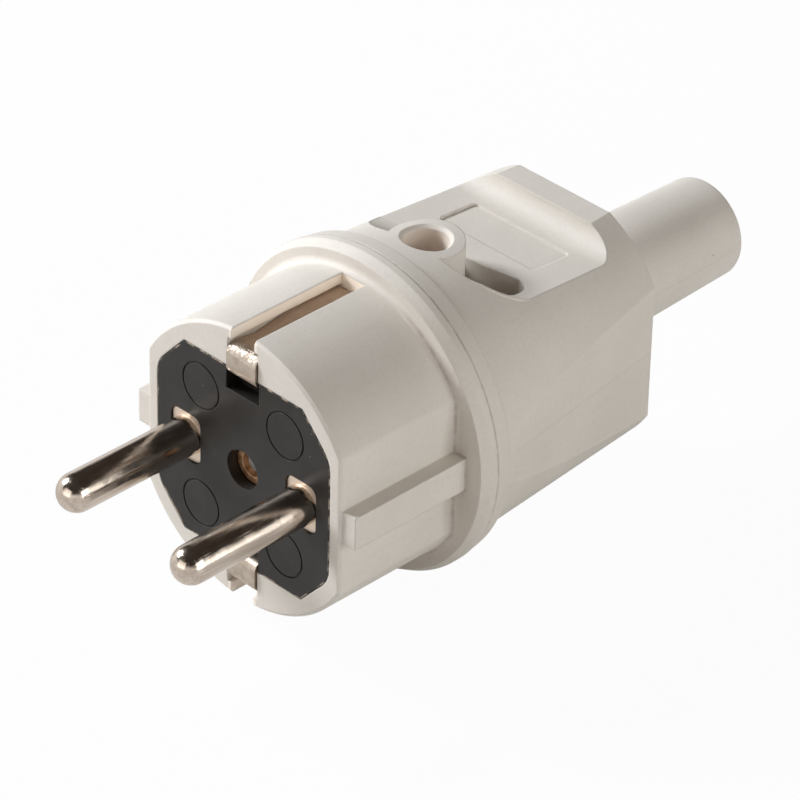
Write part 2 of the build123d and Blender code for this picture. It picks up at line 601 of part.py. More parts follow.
# Rear hood: ring at the joint, tapering body, scoop with slot, screw boss and bare label recess
with BuildPart() as rear_hood:
    add(hood_body(0))
    add(scoop_space.part, mode=Mode.SUBTRACT)
    fillet(rear_hood.faces().sort_by(Axis.Y)[-1].edges(), HOOD_END_EDGE)
    with BuildSketch(Plane.XY) as ring_profile:
        with BuildLine():
            Polyline(
                (0, FLANGE_BACK),
                (RING_RADIUS, FLANGE_BACK),
                (RING_RADIUS - RING_TAPER, RING_END),
                (0, RING_END),
                close=True,
            )
        make_face()
        ring_rim = ring_profile.vertices().sort_by(Axis.X)[-2:]
        chamfer(ring_rim[1], SEAM_EDGE)
        fillet(ring_rim[0], RING_EDGE)
    revolve(axis=Axis.Y)
    add(slot_space.part, mode=Mode.SUBTRACT)
    add(hood_space.part, mode=Mode.SUBTRACT)
    with BuildSketch(across(FLANGE_BACK)):
        Circle(SPIGOT_RADIUS + FIT_GAP)
    extrude(amount=FLANGE_BACK - HOOD_BORE_END, mode=Mode.SUBTRACT)
    with BuildSketch(across(HOOD_END)):
        Circle(SLEEVE_ROOT_RADIUS + FIT_GAP)
    extrude(amount=2 * HOOD_WALL, both=True, mode=Mode.SUBTRACT)
    with BuildSketch(Plane.XY.offset(RING_RADIUS)):
        with Locations((0, BOSS_Y)):
            Circle(BOSS_BORE)
    extrude(amount=BOSS_SEAT_Z - RING_RADIUS, mode=Mode.SUBTRACT)
    chamfer(rear_hood.edges(Select.NEW), BOSS_CHAMFER)
    with BuildSketch(Plane.XY.offset(BOSS_SEAT_Z)):
        with Locations((0, BOSS_Y)):
            Circle(SCREW_HOLE)
    extrude(amount=LOW_CEILING - BOSS_SEAT_Z, mode=Mode.SUBTRACT)
    floor_slope = (SCOOP_LOW_Z - SCOOP_HIGH_Z) / (SCOOP_LOW_Y - SCOOP_FRONT)
    floor_middle = (SCOOP_FRONT + SCOOP_LOW_Y) / 2
    label_plane = Plane(
        origin=(0, floor_middle, (SCOOP_HIGH_Z + SCOOP_LOW_Z) / 2),
        x_dir=(1, 0, 0),
        z_dir=(0, -floor_slope, 1),
    )
    with BuildSketch(label_plane):
        with Locations((0, (LABEL_FRONT + LABEL_BACK) / 2 - floor_middle)):
            RectangleRounded(2 * LABEL_HALF_WIDTH, LABEL_BACK - LABEL_FRONT, LABEL_CORNER)
    extrude(amount=-LABEL_DEPTH, mode=Mode.SUBTRACT)
rear_hood.part.label = "rear_hood"
export_step(rear_hood.part, "parts/rear_hood.step")

# Cable sleeve: tapered tube with a collar behind the hood's wall
with BuildPart() as kink_sleeve:
    with BuildSketch(Plane.XY) as sleeve_profile:
        with BuildLine():
            Polyline(
                (SLEEVE_BORE, HOOD_WALL_FACE - COLLAR_THICK),
                (COLLAR_RADIUS, HOOD_WALL_FACE - COLLAR_THICK),
                (COLLAR_RADIUS, HOOD_WALL_FACE),
                (SLEEVE_ROOT_RADIUS, HOOD_WALL_FACE),
                (SLEEVE_ROOT_RADIUS, HOOD_END),
                (SLEEVE_END_RADIUS, SLEEVE_END),
                (SLEEVE_BORE, SLEEVE_END),
                close=True,
            )
        make_face()
        mouth = sleeve_profile.vertices().group_by(Axis.Y)[-1].sort_by(Axis.X)
        fillet(mouth[1], SLEEVE_EDGE)
        chamfer(mouth[0], SLEEVE_EDGE / 2)
    revolve(axis=Axis.Y)
kink_sleeve.part.label = "kink_sleeve"
export_step(kink_sleeve.part, "parts/kink_sleeve.step")

# Cord grip bar: sits on the saddle, with a half-round arch over the cord's path
with BuildPart() as cord_grip_bar:
    with BuildSketch(across(SADDLE_START)) as bar_section:
        Rectangle(2 * SADDLE_HALF_WIDTH, GRIP_BAR_HEIGHT, align=(Align.CENTER, Align.MIN))
        fillet(bar_section.vertices().group_by(Axis.Y)[-1], GRIP_BAR_HEIGHT / 6)
        Circle(CORD_RADIUS, mode=Mode.SUBTRACT)
    extrude(amount=-SADDLE_LENGTH)
    with Locations((GRIP_SCREW_X, SADDLE_MIDDLE, GRIP_BAR_HEIGHT), (-GRIP_SCREW_X, SADDLE_MIDDLE, GRIP_BAR_HEIGHT)):
        Hole(SCREW_HOLE)
cord_grip_bar.part.label = "cord_grip_bar"
export_step(cord_grip_bar.part, "parts/cord_grip_bar.step")

# Clamp washers at the three terminals
clamp_places = (
    ("terminal_clamp_left", -PIN_X, TERMINAL_FACE, 0),
    ("terminal_clamp_right", PIN_X, TERMINAL_FACE, 0),
    ("terminal_clamp_earth", 0, STRIP_BACK, EARTH_TERMINAL_Z),
)
for clamp_name, clamp_x, clamp_y, clamp_z in clamp_places:
    with BuildPart() as clamp:
        with BuildSketch(facing_back(clamp_x, clamp_y, clamp_z)):
            RectangleRounded(CLAMP_WIDTH, CLAMP_WIDTH, CLAMP_THICK)
            Circle(SCREW_HOLE, mode=Mode.SUBTRACT)
        extrude(amount=CLAMP_THICK)
    clamp.part.label = clamp_name
    export_step(clamp.part, f"parts/{clamp_name}.step")

# Screws and nuts
with BuildPart() as terminal_screws:
    with Locations(*(facing_back(x, y + CLAMP_THICK, z) for _, x, y, z in clamp_places)):
        add(slotted_screw(TERMINAL_SCREW_LENGTH))
terminal_screws.part.label = "terminal_screws"
export_step(terminal_screws.part, "parts/terminal_screws.step")

with BuildPart() as centre_screw:
    with Locations(facing_back(0, BULKHEAD_BACK, 0)):
        add(slotted_screw(CENTRE_SCREW_LENGTH))
centre_screw.part.label = "centre_screw"
export_step(centre_screw.part, "parts/centre_screw.step")

with BuildPart() as hood_screw:
    with Locations((0, BOSS_Y, BOSS_SEAT_Z)):
        add(slotted_screw(HOOD_SCREW_LENGTH))
hood_screw.part.label = "hood_screw"
export_step(hood_screw.part, "parts/hood_screw.step")

with BuildPart() as cord_grip_screws:
    with Locations((GRIP_SCREW_X, SADDLE_MIDDLE, GRIP_BAR_HEIGHT), (-GRIP_SCREW_X, SADDLE_MIDDLE, GRIP_BAR_HEIGHT)):
        add(slotted_screw(GRIP_SCREW_LENGTH))
cord_grip_screws.part.label = "cord_grip_screws"
export_step(cord_grip_screws.part, "parts/cord_grip_screws.step")

with BuildPart() as earth_nut:
    with Locations(facing_front(0, PLATE_THICK, EARTH_TERMINAL_Z)):
        add(square_nut())
earth_nut.part.label = "earth_nut"
export_step(earth_nut.part, "parts/earth_nut.step")

with BuildPart() as hood_nut:
    with Locations((0, BOSS_Y, HOOD_NUT_Z)):
        add(square_nut())
hood_nut.part.label = "hood_nut"
export_step(hood_nut.part, "parts/hood_nut.step")

with BuildPart() as cord_grip_nuts:
    with Locations((GRIP_SCREW_X, SADDLE_MIDDLE, GRIP_NUT_Z), (-GRIP_SCREW_X, SADDLE_MIDDLE, GRIP_NUT_Z)):
        add(square_nut())
cord_grip_nuts.part.label = "cord_grip_nuts"
export_step(cord_grip_nuts.part, "parts/cord_grip_nuts.step")
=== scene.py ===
# %% [markdown]
# A rewireable mains plug is a handful of hard pieces: an off-white front housing with a round nose, an
# off-white hood behind it, a cable sleeve, a black contact plate, two nickel-plated pins and a springy
# earth strip. All of them were designed in CAD, so Blender doesn't model them again. This lesson loads
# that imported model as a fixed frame, sets up a small product studio round it, adds three slim forms that
# the mouldings have at their edges, and gives every piece the finish that the real one has: satin moulded
# plastic, turned nickel, rolled strip, brass and zinc.

# %% Load the frame
import math

import bpy
from mathutils import Matrix, Vector


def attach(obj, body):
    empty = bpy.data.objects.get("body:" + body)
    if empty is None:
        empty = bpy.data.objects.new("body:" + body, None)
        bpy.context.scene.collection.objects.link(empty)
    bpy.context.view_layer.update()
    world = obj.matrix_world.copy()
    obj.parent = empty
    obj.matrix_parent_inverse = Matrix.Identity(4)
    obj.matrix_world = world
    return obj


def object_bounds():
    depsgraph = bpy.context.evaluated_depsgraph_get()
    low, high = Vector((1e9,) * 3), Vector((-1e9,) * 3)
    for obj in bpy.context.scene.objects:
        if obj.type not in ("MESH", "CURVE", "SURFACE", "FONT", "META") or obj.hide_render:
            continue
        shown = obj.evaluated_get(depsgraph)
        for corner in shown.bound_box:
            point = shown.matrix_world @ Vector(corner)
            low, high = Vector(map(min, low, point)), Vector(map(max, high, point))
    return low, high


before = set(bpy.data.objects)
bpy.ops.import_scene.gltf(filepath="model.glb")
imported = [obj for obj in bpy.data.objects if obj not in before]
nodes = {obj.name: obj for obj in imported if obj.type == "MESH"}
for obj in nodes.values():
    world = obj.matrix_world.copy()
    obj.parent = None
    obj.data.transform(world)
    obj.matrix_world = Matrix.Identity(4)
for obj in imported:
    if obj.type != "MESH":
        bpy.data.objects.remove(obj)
cad_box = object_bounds()
MM = 0.001
print("pieces of the frame:", ", ".join(sorted(nodes)))

# %% [markdown]
# The camera stands where the photographer stood. It could be placed by eye, but a plug has edges that run
# along three axes, so its place was worked out from those edges: a long lens, from the right, above the
# pins, turned by a degree. The lens is long enough that the edges stay almost parallel. The camera is
# aimed by the pixel at which the middle of the contact face is seen.

# %% Camera
IMAGE_SIDE = 800
FOCAL_PIXELS = 5000.0
SENSOR_WIDTH = 36.0
AZIMUTH = math.radians(44.641)
ELEVATION = math.radians(33.758)
ROLL = math.radians(1.35)
DISTANCE = 566.057 * MM
ORIGIN_PIXEL = (242.429, 469.791)
NEAREST = 10 * MM


def direction(azimuth, elevation):
    """The way from the plug to a place round it, with azimuth 0 in front of the pins, growing to the right."""
    flat = math.cos(elevation)
    return Vector((math.sin(azimuth) * flat, -math.cos(azimuth) * flat, math.sin(elevation)))


towards = direction(AZIMUTH, ELEVATION)
level = Vector((math.cos(AZIMUTH), math.sin(AZIMUTH), 0))
upright = towards.cross(level)
right = math.cos(ROLL) * level + math.sin(ROLL) * upright
up = math.cos(ROLL) * upright - math.sin(ROLL) * level
metres_per_pixel = DISTANCE / FOCAL_PIXELS
aside = (ORIGIN_PIXEL[0] - IMAGE_SIDE / 2) * metres_per_pixel
above = (IMAGE_SIDE / 2 - ORIGIN_PIXEL[1]) * metres_per_pixel
eye = DISTANCE * towards - aside * right - above * up

bpy.ops.object.camera_add()
camera = bpy.context.object
camera.name = "camera"
turn = Matrix((right, up, towards)).transposed().to_4x4()
camera.matrix_world = Matrix.Translation(eye) @ turn
camera.data.sensor_width = SENSOR_WIDTH
camera.data.lens = SENSOR_WIDTH * FOCAL_PIXELS / IMAGE_SIDE
camera.data.clip_start = NEAREST
bpy.context.scene.camera = camera
print("camera at", [round(c, 4) for c in eye], "lens", camera.data.lens, "mm")

# %% [markdown]
# Finishes are built from shader nodes. Placing nodes one by one hides the idea behind a finish, so two
# small classes help. A Wire is the output of a node, and sums of wires and numbers add Math nodes, so that
# a mask reads like a formula. A Finish is a node tree with one method that adds any other node.

# %% Wires and finishes
class Wire:
    """The output of a node. A sum of wires and numbers adds Math nodes to the same tree."""

    def __init__(self, finish, socket):
        self.finish = finish
        self.socket = socket

    def maths(self, operation, first, second=0.0):
        return self.finish.node("Math", {"operation": operation}, {0: first, 1: second})

    def __add__(self, other):
        return self.maths("ADD", self, other)

    def __radd__(self, other):
        return self.maths("ADD", other, self)

    def __sub__(self, other):
        return self.maths("SUBTRACT", self, other)

    def __rsub__(self, other):
        return self.maths("SUBTRACT", other, self)

    def __mul__(self, other):
        return self.maths("MULTIPLY", self, other)

    def __rmul__(self, other):
        return self.maths("MULTIPLY", other, self)

    def __pow__(self, other):
        return self.maths("POWER", self, other)

    def __abs__(self):
        return self.maths("ABSOLUTE", self)


class Finish:
    """The node tree of a material or a world, with one method that adds a node."""

    def __init__(self, owner):
        owner.use_nodes = True
        self.owner = owner
        self.tree = owner.node_tree
        self.tree.nodes.clear()

    def node(self, kind, settings=None, sockets=None, out=0):
        made = self.tree.nodes.new("ShaderNode" + kind)
        for name, value in (settings or {}).items():
            setattr(made, name, value)
        for name, value in (sockets or {}).items():
            if isinstance(value, Wire):
                self.tree.links.new(value.socket, made.inputs[name])
            else:
                made.inputs[name].default_value = value
        return Wire(self, made.outputs[out]) if made.outputs else made


print("a finish is a node tree, and a wire is one output in it")

# %% [markdown]
# A few patterns come back in every finish: where a point is, in millimetres; a cloud of noise with a given
# grain size, which can be stretched to make scratches or flow lines; a soft step; a colour blend; and a
# mask that finds the edges. The edge mask compares the real surface direction with the direction that a
# slightly rounded surface would have. The two only differ near an edge. A soft step takes a pair of values,
# the one where it begins and the one where it is full. Most numbers of the finishes below are such pairs.

# %% Patterns that the finishes share
BEVEL_SAMPLES = 6
EDGE_TURN = (0.02, 0.2)
SPECK_CORE = 0.4
SPECK_CHANCE = (0.8, 0.82)


def place(finish):
    """A point's place on its piece, in millimetres."""
    metres = finish.node("TexCoord", out="Object")
    return finish.node("VectorMath", {"operation": "SCALE"}, {0: metres, "Scale": 1 / MM})


def axis(finish, where, name):
    """One coordinate of a place."""
    return finish.node("SeparateXYZ", sockets={0: where}, out=name)


def cloud(finish, where, grain, detail=2.0, stretch=(1, 1, 1), shift=0.0):
    """Noise from 0 to 1 with that grain size in millimetres, drawn out along the axes by the stretch."""
    scale = tuple(1 / (grain * s) for s in stretch)
    moved = {"Vector": where, "Location": (shift, shift, shift), "Scale": scale}
    spread = finish.node("Mapping", sockets=moved)
    return finish.node("TexNoise", sockets={"Vector": spread, "Scale": 1.0, "Detail": detail})


def step(finish, value, low, high):
    """A soft step from 0 at low to 1 at high."""
    limits = {"Value": value, "From Min": low, "From Max": high}
    return finish.node("MapRange", {"interpolation_type": "SMOOTHSTEP"}, limits)


def blend(finish, share, first, second):
    """A colour between two others."""
    return finish.node("Mix", {"data_type": "RGBA"}, {0: share, 6: first, 7: second}, out=2)


def specks(finish, where, spacing, size):
    """Scattered dots of about that size, of which most are left out."""
    cells = {"Vector": where, "Scale": 1 / spacing, "Randomness": 1.0}
    distance = finish.node("TexVoronoi", sockets=cells, out="Distance")
    chance = axis(finish, finish.node("TexVoronoi", sockets=cells, out="Color"), "X")
    dots = step(finish, distance, size / spacing, SPECK_CORE * size / spacing)
    return dots * step(finish, chance, *SPECK_CHANCE)


def rounded(finish, radius):
    """The surface direction with every edge rounded off to a radius in millimetres."""
    return finish.node("Bevel", {"samples": BEVEL_SAMPLES}, {"Radius": radius * MM})


def edges(finish, soft):
    """A mask of the edges, from the difference between the rounded and the true direction."""
    true = finish.node("NewGeometry", out="Normal")
    same = finish.node("VectorMath", {"operation": "DOT_PRODUCT"}, {0: soft, 1: true}, out="Value")
    return step(finish, 1 - same, *EDGE_TURN)


def relief(finish, height, depth, normal):
    """A bump of that depth in millimetres on top of a surface direction."""
    return finish.node("Bump", sockets={"Height": height, "Distance": depth * MM, "Normal": normal})


def shade(finish, **sockets):
    """The surface shader of a finish, with its sockets by name."""
    names = {name.replace("_", " "): value for name, value in sockets.items()}
    surface = finish.node("BsdfPrincipled", sockets=names)
    finish.node("OutputMaterial", sockets={"Surface": surface})
    return finish.owner


print("shared patterns: place, cloud, step, blend, specks, rounded edges and relief")

# %% [markdown]
# The studio is plain: white paper below and a white backdrop behind. White walls all round would flood the
# plug with light, so the backdrop is white only to the camera and in reflections, and all other light meets
# a dim and slightly warm surround. The ceiling is dark in reflections, which gives the nickel its dark
# upper half.

# %% Surroundings
SURROUND = (0.088, 0.0715, 0.06, 1)
CEILING = (0.05, 0.042, 0.036, 1)
WHITE = (1, 1, 1, 1)
BACKDROP_HEIGHT = (0.12, 0.45)

world = bpy.data.worlds.new("studio")
bpy.context.scene.world = world
studio = Finish(world)


def mirrored(finish):
    """1 for rays that show a thing in a mirror or through glass."""
    glossy = finish.node("LightPath", out="Is Glossy Ray")
    through = finish.node("LightPath", out="Is Transmission Ray")
    return finish.node("Math", {"operation": "ADD", "use_clamp": True}, {0: glossy, 1: through})


def straight(finish):
    """1 for rays that come straight from the camera."""
    return finish.node("LightPath", out="Is Camera Ray")


height = axis(studio, studio.node("TexCoord", out="Generated"), "Z")
backdrop = blend(studio, step(studio, height, *BACKDROP_HEIGHT), WHITE, CEILING)
sky = blend(studio, mirrored(studio), SURROUND, backdrop)
sky = blend(studio, straight(studio), sky, WHITE)
studio.node("OutputWorld", sockets={"Surface": studio.node("Background", sockets={"Color": sky})})
bpy.context.scene.view_settings.view_transform = "Standard"
print("world:", world.name)

# %% [markdown]
# The floor is a large sheet of paper at the lowest point of the plug. It could be lit until it turns white,
# but then it would light the plug from below. Its shader is mixed instead: the camera sees it almost pure
# white with a trace of the shadow, mirrors see it dimmer, because what they show of it lies in the shadow
# of the plug, and all other light meets plain paper.

# %% Floor
FLOOR_SIZE = 6.0
FLOOR_SHARE = 0.965
FLOOR_MIRROR = 0.45
PAPER = (0.7, 0.685, 0.67, 1)

bpy.ops.mesh.primitive_plane_add(size=FLOOR_SIZE, location=(0, 0, cad_box[0][2]))
floor = bpy.context.object
floor.name = "floor"
paper = Finish(bpy.data.materials.new("white_paper"))
lit = paper.node("BsdfDiffuse", sockets={"Color": PAPER})
bright = paper.node("Emission", sockets={"Color": WHITE, "Strength": 1.0})
seen = straight(paper) * FLOOR_SHARE + mirrored(paper) * FLOOR_MIRROR
mixed = paper.node("MixShader", sockets={0: seen, 1: lit, 2: bright})
paper.node("OutputMaterial", sockets={"Surface": mixed})
floor.data.materials.append(paper.owner)
print("floor at", round(cad_box[0][2] / MM, 2), "mm")

# %% [markdown]
# Three soft lamps do the lighting: the key lamp from the left, a third of the way up, a large fill lamp low
# on the right, and a weak front lamp that keeps the shadows of the pins soft. One lamp in a bright room
# would be simpler, but the gap between the lamps is wanted: the light is weakest on surfaces that face
# halfway between up and right, which gives the round parts their dark band.

# %% Lamps
MIDDLE = Vector((0, 30 * MM, 0))
LAMP_DISTANCE = 0.8


def soft_lamp(name, azimuth, elevation, side, watts, tint):
    """A square soft lamp that looks at the middle of the plug, at two angles in degrees."""
    ahead = direction(math.radians(azimuth), math.radians(elevation))
    bpy.ops.object.light_add(type="AREA", location=MIDDLE + LAMP_DISTANCE * ahead)
    lamp = bpy.context.object
    lamp.name = name
    lamp.rotation_euler = ahead.to_track_quat("Z", "Y").to_euler()
    lamp.data.size = side
    lamp.data.energy = watts
    lamp.data.color = tint
    return lamp


lamps = (
    soft_lamp("key_lamp", azimuth=-68, elevation=32, side=0.25, watts=8.0, tint=(0.955, 1.0, 1.05)),
    soft_lamp("fill_lamp", azimuth=98, elevation=12, side=0.65, watts=4.25, tint=(0.98, 1.0, 1.0)),
    soft_lamp("front_lamp", azimuth=-8, elevation=12, side=0.6, watts=1.5, tint=(1.0, 0.98, 0.96)),
)
for lamp in lamps:
    print(lamp.name, round(lamp.data.energy, 2), "W")

# %% [markdown]
# The flange of the housing has a crisp front rim on the real moulding, and its edge is rounded off in the
# CAD model. A slim ring of the same plastic fills that corner. It could be a boolean, but it is simply
# turned: each line of its profile is swept round the plug's long axis as one band of a cone, and the bands
# are then joined.

# %% Crisp rim of the flange
RIM_FOOT = (19.2, 18.0)
RIM_FRONT = (20.14, 18.0)
RIM_SHOULDER = (20.8, 19.2)
RIM_BACK = (20.8, 19.6)
ROUND_STEPS = 240
MERGE_DISTANCE = 0.001 * MM
CREASE_ANGLE = math.radians(20)


def turned_ring(name, profile):
    """A ring round the Y axis. Each point of its profile is a radius and a place along Y in millimetres."""
    bands = []
    for (radius, start), (next_radius, stop) in zip(profile, profile[1:]):
        bpy.ops.mesh.primitive_cone_add(
            vertices=ROUND_STEPS,
            radius1=radius * MM,
            radius2=next_radius * MM,
            depth=(stop - start) * MM,
            end_fill_type="NOTHING",
            location=(0, (start + stop) / 2 * MM, 0),
            rotation=(-math.pi / 2, 0, 0),
        )
        bands.append(bpy.context.object)
    for band in bands:
        band.select_set(True)
    bpy.ops.object.join()
    ring = bpy.context.object
    ring.name = name
    bpy.ops.object.transform_apply(location=True, rotation=True, scale=True)
    bpy.ops.object.mode_set(mode="EDIT")
    bpy.ops.mesh.select_all(action="SELECT")
    bpy.ops.mesh.remove_doubles(threshold=MERGE_DISTANCE)
    bpy.ops.object.mode_set(mode="OBJECT")
    bpy.ops.object.shade_smooth_by_angle(angle=CREASE_ANGLE)
    return ring


flange_rim = turned_ring("flange_rim", (RIM_FOOT, RIM_FRONT, RIM_SHOULDER, RIM_BACK))
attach(flange_rim, "root")
print(flange_rim.name, len(flange_rim.data.polygons), "faces")

# %% [markdown]
# On the left of the boss the floor of the thumb scoop runs up to the collar in a soft slope, where the CAD
# model has an upright wall. A narrow ramp fills that corner. It could be sculpted, but the wall follows a
# plain arc, so the ramp follows it too, in short steps. Each step has one point on the hood, one at the top
# of the wall, one out on the floor and one hidden below.

# %% The scoop's round corner
CORNER_X = -3.8
CORNER_Y = 35.4
CORNER_RADIUS = 8.65
CORNER_STEPS = 24
HOOD_FRONT_Y = 22.6
HOOD_FRONT_RADIUS = 19.31
HOOD_TAPER = 0.064
SCOOP_FRONT_Y = 26.8
SCOOP_FRONT_Z = 14.53
SCOOP_FALL = 0.069


def crest(angle, beyond=0.0):
    """A point at the top of the scoop's left wall, at one angle of its corner, or beyond it on the hood."""
    x = CORNER_X - (CORNER_RADIUS + beyond) * math.cos(angle)
    y = CORNER_Y - (CORNER_RADIUS + beyond) * math.sin(angle)
    hood_radius = HOOD_FRONT_RADIUS - HOOD_TAPER * (y - HOOD_FRONT_Y)
    return Vector((x, y, math.sqrt(hood_radius ** 2 - x ** 2)))


def on_floor(point):
    """The place on the scoop's floor below or above a point."""
    return Vector((point.x, point.y, SCOOP_FRONT_Z - SCOOP_FALL * (point.y - SCOOP_FRONT_Y)))


def along_corner(place_at):
    """What a function gives for each share of the way round the corner, from 0 to 1."""
    return [place_at(index / CORNER_STEPS) for index in range(CORNER_STEPS + 1)]


print("corner of the scoop from", [round(c, 1) for c in crest(0)], "in", CORNER_STEPS, "steps")

# %% Ramp in the scoop
RAMP_START = math.radians(4)
RAMP_END = math.radians(72)
RAMP_WIDE = 5.6
RAMP_NARROW = 3.4
RAMP_LAP = 0.6
RAMP_LIFT = 0.04
HIDDEN_DEPTH = 1.4


def ramp_corners(along):
    """The corners of the ramp at one share of its way round the scoop's corner."""
    angle = RAMP_START + (RAMP_END - RAMP_START) * along
    inwards = Vector((math.cos(angle), math.sin(angle), 0))
    top = crest(angle)
    foot = on_floor(top + (RAMP_WIDE + (RAMP_NARROW - RAMP_WIDE) * along) * inwards)
    hidden = on_floor(top) - Vector((0, 0, HIDDEN_DEPTH))
    return [crest(angle, RAMP_LAP), top + Vector((0, 0, RAMP_LIFT)), foot, hidden]


def solid_of_rings(name, rings):
    """A solid whose cross-sections, in millimetres, are given one after the other."""
    count = len(rings[0])
    last = count * (len(rings) - 1)
    faces = [list(range(count)), list(range(last, last + count))]
    for first in range(0, last, count):
        for corner in range(count):
            here = first + corner
            beside = first + (corner + 1) % count
            faces.append([here, beside, beside + count, here + count])
    bpy.ops.mesh.primitive_plane_add()
    solid = bpy.context.object
    solid.name = name
    solid.data.clear_geometry()
    solid.data.from_pydata([corner * MM for ring in rings for corner in ring], [], faces)
    bpy.ops.object.mode_set(mode="EDIT")
    bpy.ops.mesh.select_all(action="SELECT")
    bpy.ops.mesh.normals_make_consistent(inside=False)
    bpy.ops.object.mode_set(mode="OBJECT")
    bpy.ops.object.shade_smooth_by_angle(angle=CREASE_ANGLE)
    return solid


scoop_ramp = solid_of_rings("scoop_ramp", along_corner(ramp_corners))
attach(scoop_ramp, "root")
print(scoop_ramp.name, len(scoop_ramp.data.polygons), "faces")

# %% [markdown]
# On the right the top of the scoop's wall ends in a thin rolled lip, which catches the light above the
# finger slot. It could be a fillet, but a curve with a round section is simpler: it follows the same arc on
# the other side, partly sunk in the hood, and thins out at both ends.

# %% Lip over the finger slot
LIP_START = math.radians(8)
LIP_END = math.radians(66)
LIP_RADIUS = 0.24
LIP_SUNK = 0.08
LIP_TAPER = 0.25
LIP_CREASE = math.radians(60)


def lip_point(along):
    """The middle of the lip at one share of its way round the scoop's corner, on the right."""
    edge_point = crest(LIP_START + (LIP_END - LIP_START) * along)
    return Vector((-edge_point.x, edge_point.y, edge_point.z - LIP_SUNK))


def tapered_bar(name, path, radius):
    """A round bar along a path in millimetres, which thins out at both ends."""
    bpy.ops.curve.primitive_bezier_curve_add()
    bar = bpy.context.object
    bar.name = name
    bar.data.splines.clear()
    line = bar.data.splines.new("POLY")
    last = len(path) - 1
    line.points.add(last)
    for index, point in enumerate(line.points):
        point.co = (path[index] * MM).to_4d()
        point.radius = min(1, index / last / LIP_TAPER, (1 - index / last) / LIP_TAPER)
    bar.data.bevel_depth = radius * MM
    bar.data.use_fill_caps = True
    bpy.ops.object.convert(target="MESH")
    bpy.ops.object.shade_smooth_by_angle(angle=LIP_CREASE)
    return bar


slot_lip = tapered_bar("slot_lip", along_corner(lip_point), LIP_RADIUS)
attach(slot_lip, "root")
print(slot_lip.name, len(slot_lip.data.polygons), "faces")

# %% [markdown]
# The housing, hood and sleeve are injection moulded in one off-white plastic. Real mouldings aren't one
# flat colour: they are a little cloudy, the melt leaves faint flow lines along the piece, a few specks of
# burnt plastic show, a fine line marks where the halves of the mould met, and edges are rubbed. Handling
# leaves brown grime where a finger doesn't wipe it off, in the joint and at the end of the hood, and the
# same brown darkens a band at the root of the nose and one just behind the ring. Recesses get a painted
# shade, and the insides of the grooves and of the screw hole are painted paler and warmer, as painted
# light in place of the light that reaches into them. Such places could be painted by hand, but all
# pieces share one frame, so they are given by their coordinates in millimetres.

# %% Where grime gathers, where bands darken and where light and shade are painted
JOINT_Y = 20.2
JOINT_FADE = (0.16, 0.05)
JOINT_GRIME = 0.5
NOSE_ROOT_Y = 17.75
NOSE_ROOT_FADE = (0.22, 0.05)
NOSE_ROOT_SIDE = (5.0, 11.0)
NOSE_ROOT_RADIUS = (19.1, 18.9)
NOSE_ROOT_DARKENING = (0.2, 0.25)
RING_END_FRONT = (22.35, 22.55)
RING_END_BACK = (23.0, 22.6)
RING_END_RADIUS = (20.7, 20.2)
RING_END_DARKENING = (0.4, 0.45)
HOOD_END_Y = 52.0
HOOD_END_FADE = (0.5, 0.2)
HOOD_END_GRIME = (0.1, 0.3)
SCREW_HOLE_Y = 28.8
SCREW_HOLE_RADIUS = (3.05, 2.8)
SCREW_HOLE_TOP = (18.9, 17.7)
GROOVE_SIDE = (2.4, 2.1)
GROOVE_FLOOR = (13.9, 14.3)
GROOVE_TOP = (18.2, 18.0)
GROOVE_END = (17.8, 17.5)


def from_axis(first, second):
    """The distance from an axis, from the two coordinates across it."""
    return (first * first + second * second) ** 0.5


def uneven(patches, least, more):
    """A share that grows with the patches."""
    return least + more * patches


def grime(finish, x, y, z, edge, patches):
    """A mask of grime and of darker bands, broken up so that none of them is even."""
    radius = from_axis(x, z)
    joint = step(finish, abs(y - JOINT_Y), *JOINT_FADE) * patches
    # The root of the nose on the right and a band just behind the ring are darker and browner.
    root = step(finish, abs(y - NOSE_ROOT_Y), *NOSE_ROOT_FADE) * step(finish, x, *NOSE_ROOT_SIDE)
    root = root * step(finish, radius, *NOSE_ROOT_RADIUS)
    ring_end = step(finish, y, *RING_END_FRONT) * step(finish, y, *RING_END_BACK)
    ring_end = ring_end * step(finish, radius, *RING_END_RADIUS)
    hood_end = edge * step(finish, abs(y - HOOD_END_Y), *HOOD_END_FADE)
    at_front = joint * JOINT_GRIME + root * uneven(patches, *NOSE_ROOT_DARKENING)
    at_hood = ring_end * uneven(patches, *RING_END_DARKENING) + hood_end * uneven(patches, *HOOD_END_GRIME)
    return at_front + at_hood


def in_hole(finish, x, y, z):
    """A mask of the inside of the screw hole."""
    inside = step(finish, from_axis(x, y - SCREW_HOLE_Y), *SCREW_HOLE_RADIUS)
    return inside * step(finish, z, *SCREW_HOLE_TOP)


def in_groove(finish, x, y, z):
    """A mask of the inside of the groove at the top and at the bottom of the nose."""
    across = step(finish, abs(x), *GROOVE_SIDE)
    depth = step(finish, abs(z), *GROOVE_FLOOR)
    inside = step(finish, from_axis(x, z), *GROOVE_TOP)
    return across * depth * inside * step(finish, y, *GROOVE_END)


print("grime in the joint, at the root of the nose, behind the ring and at the end of the hood")

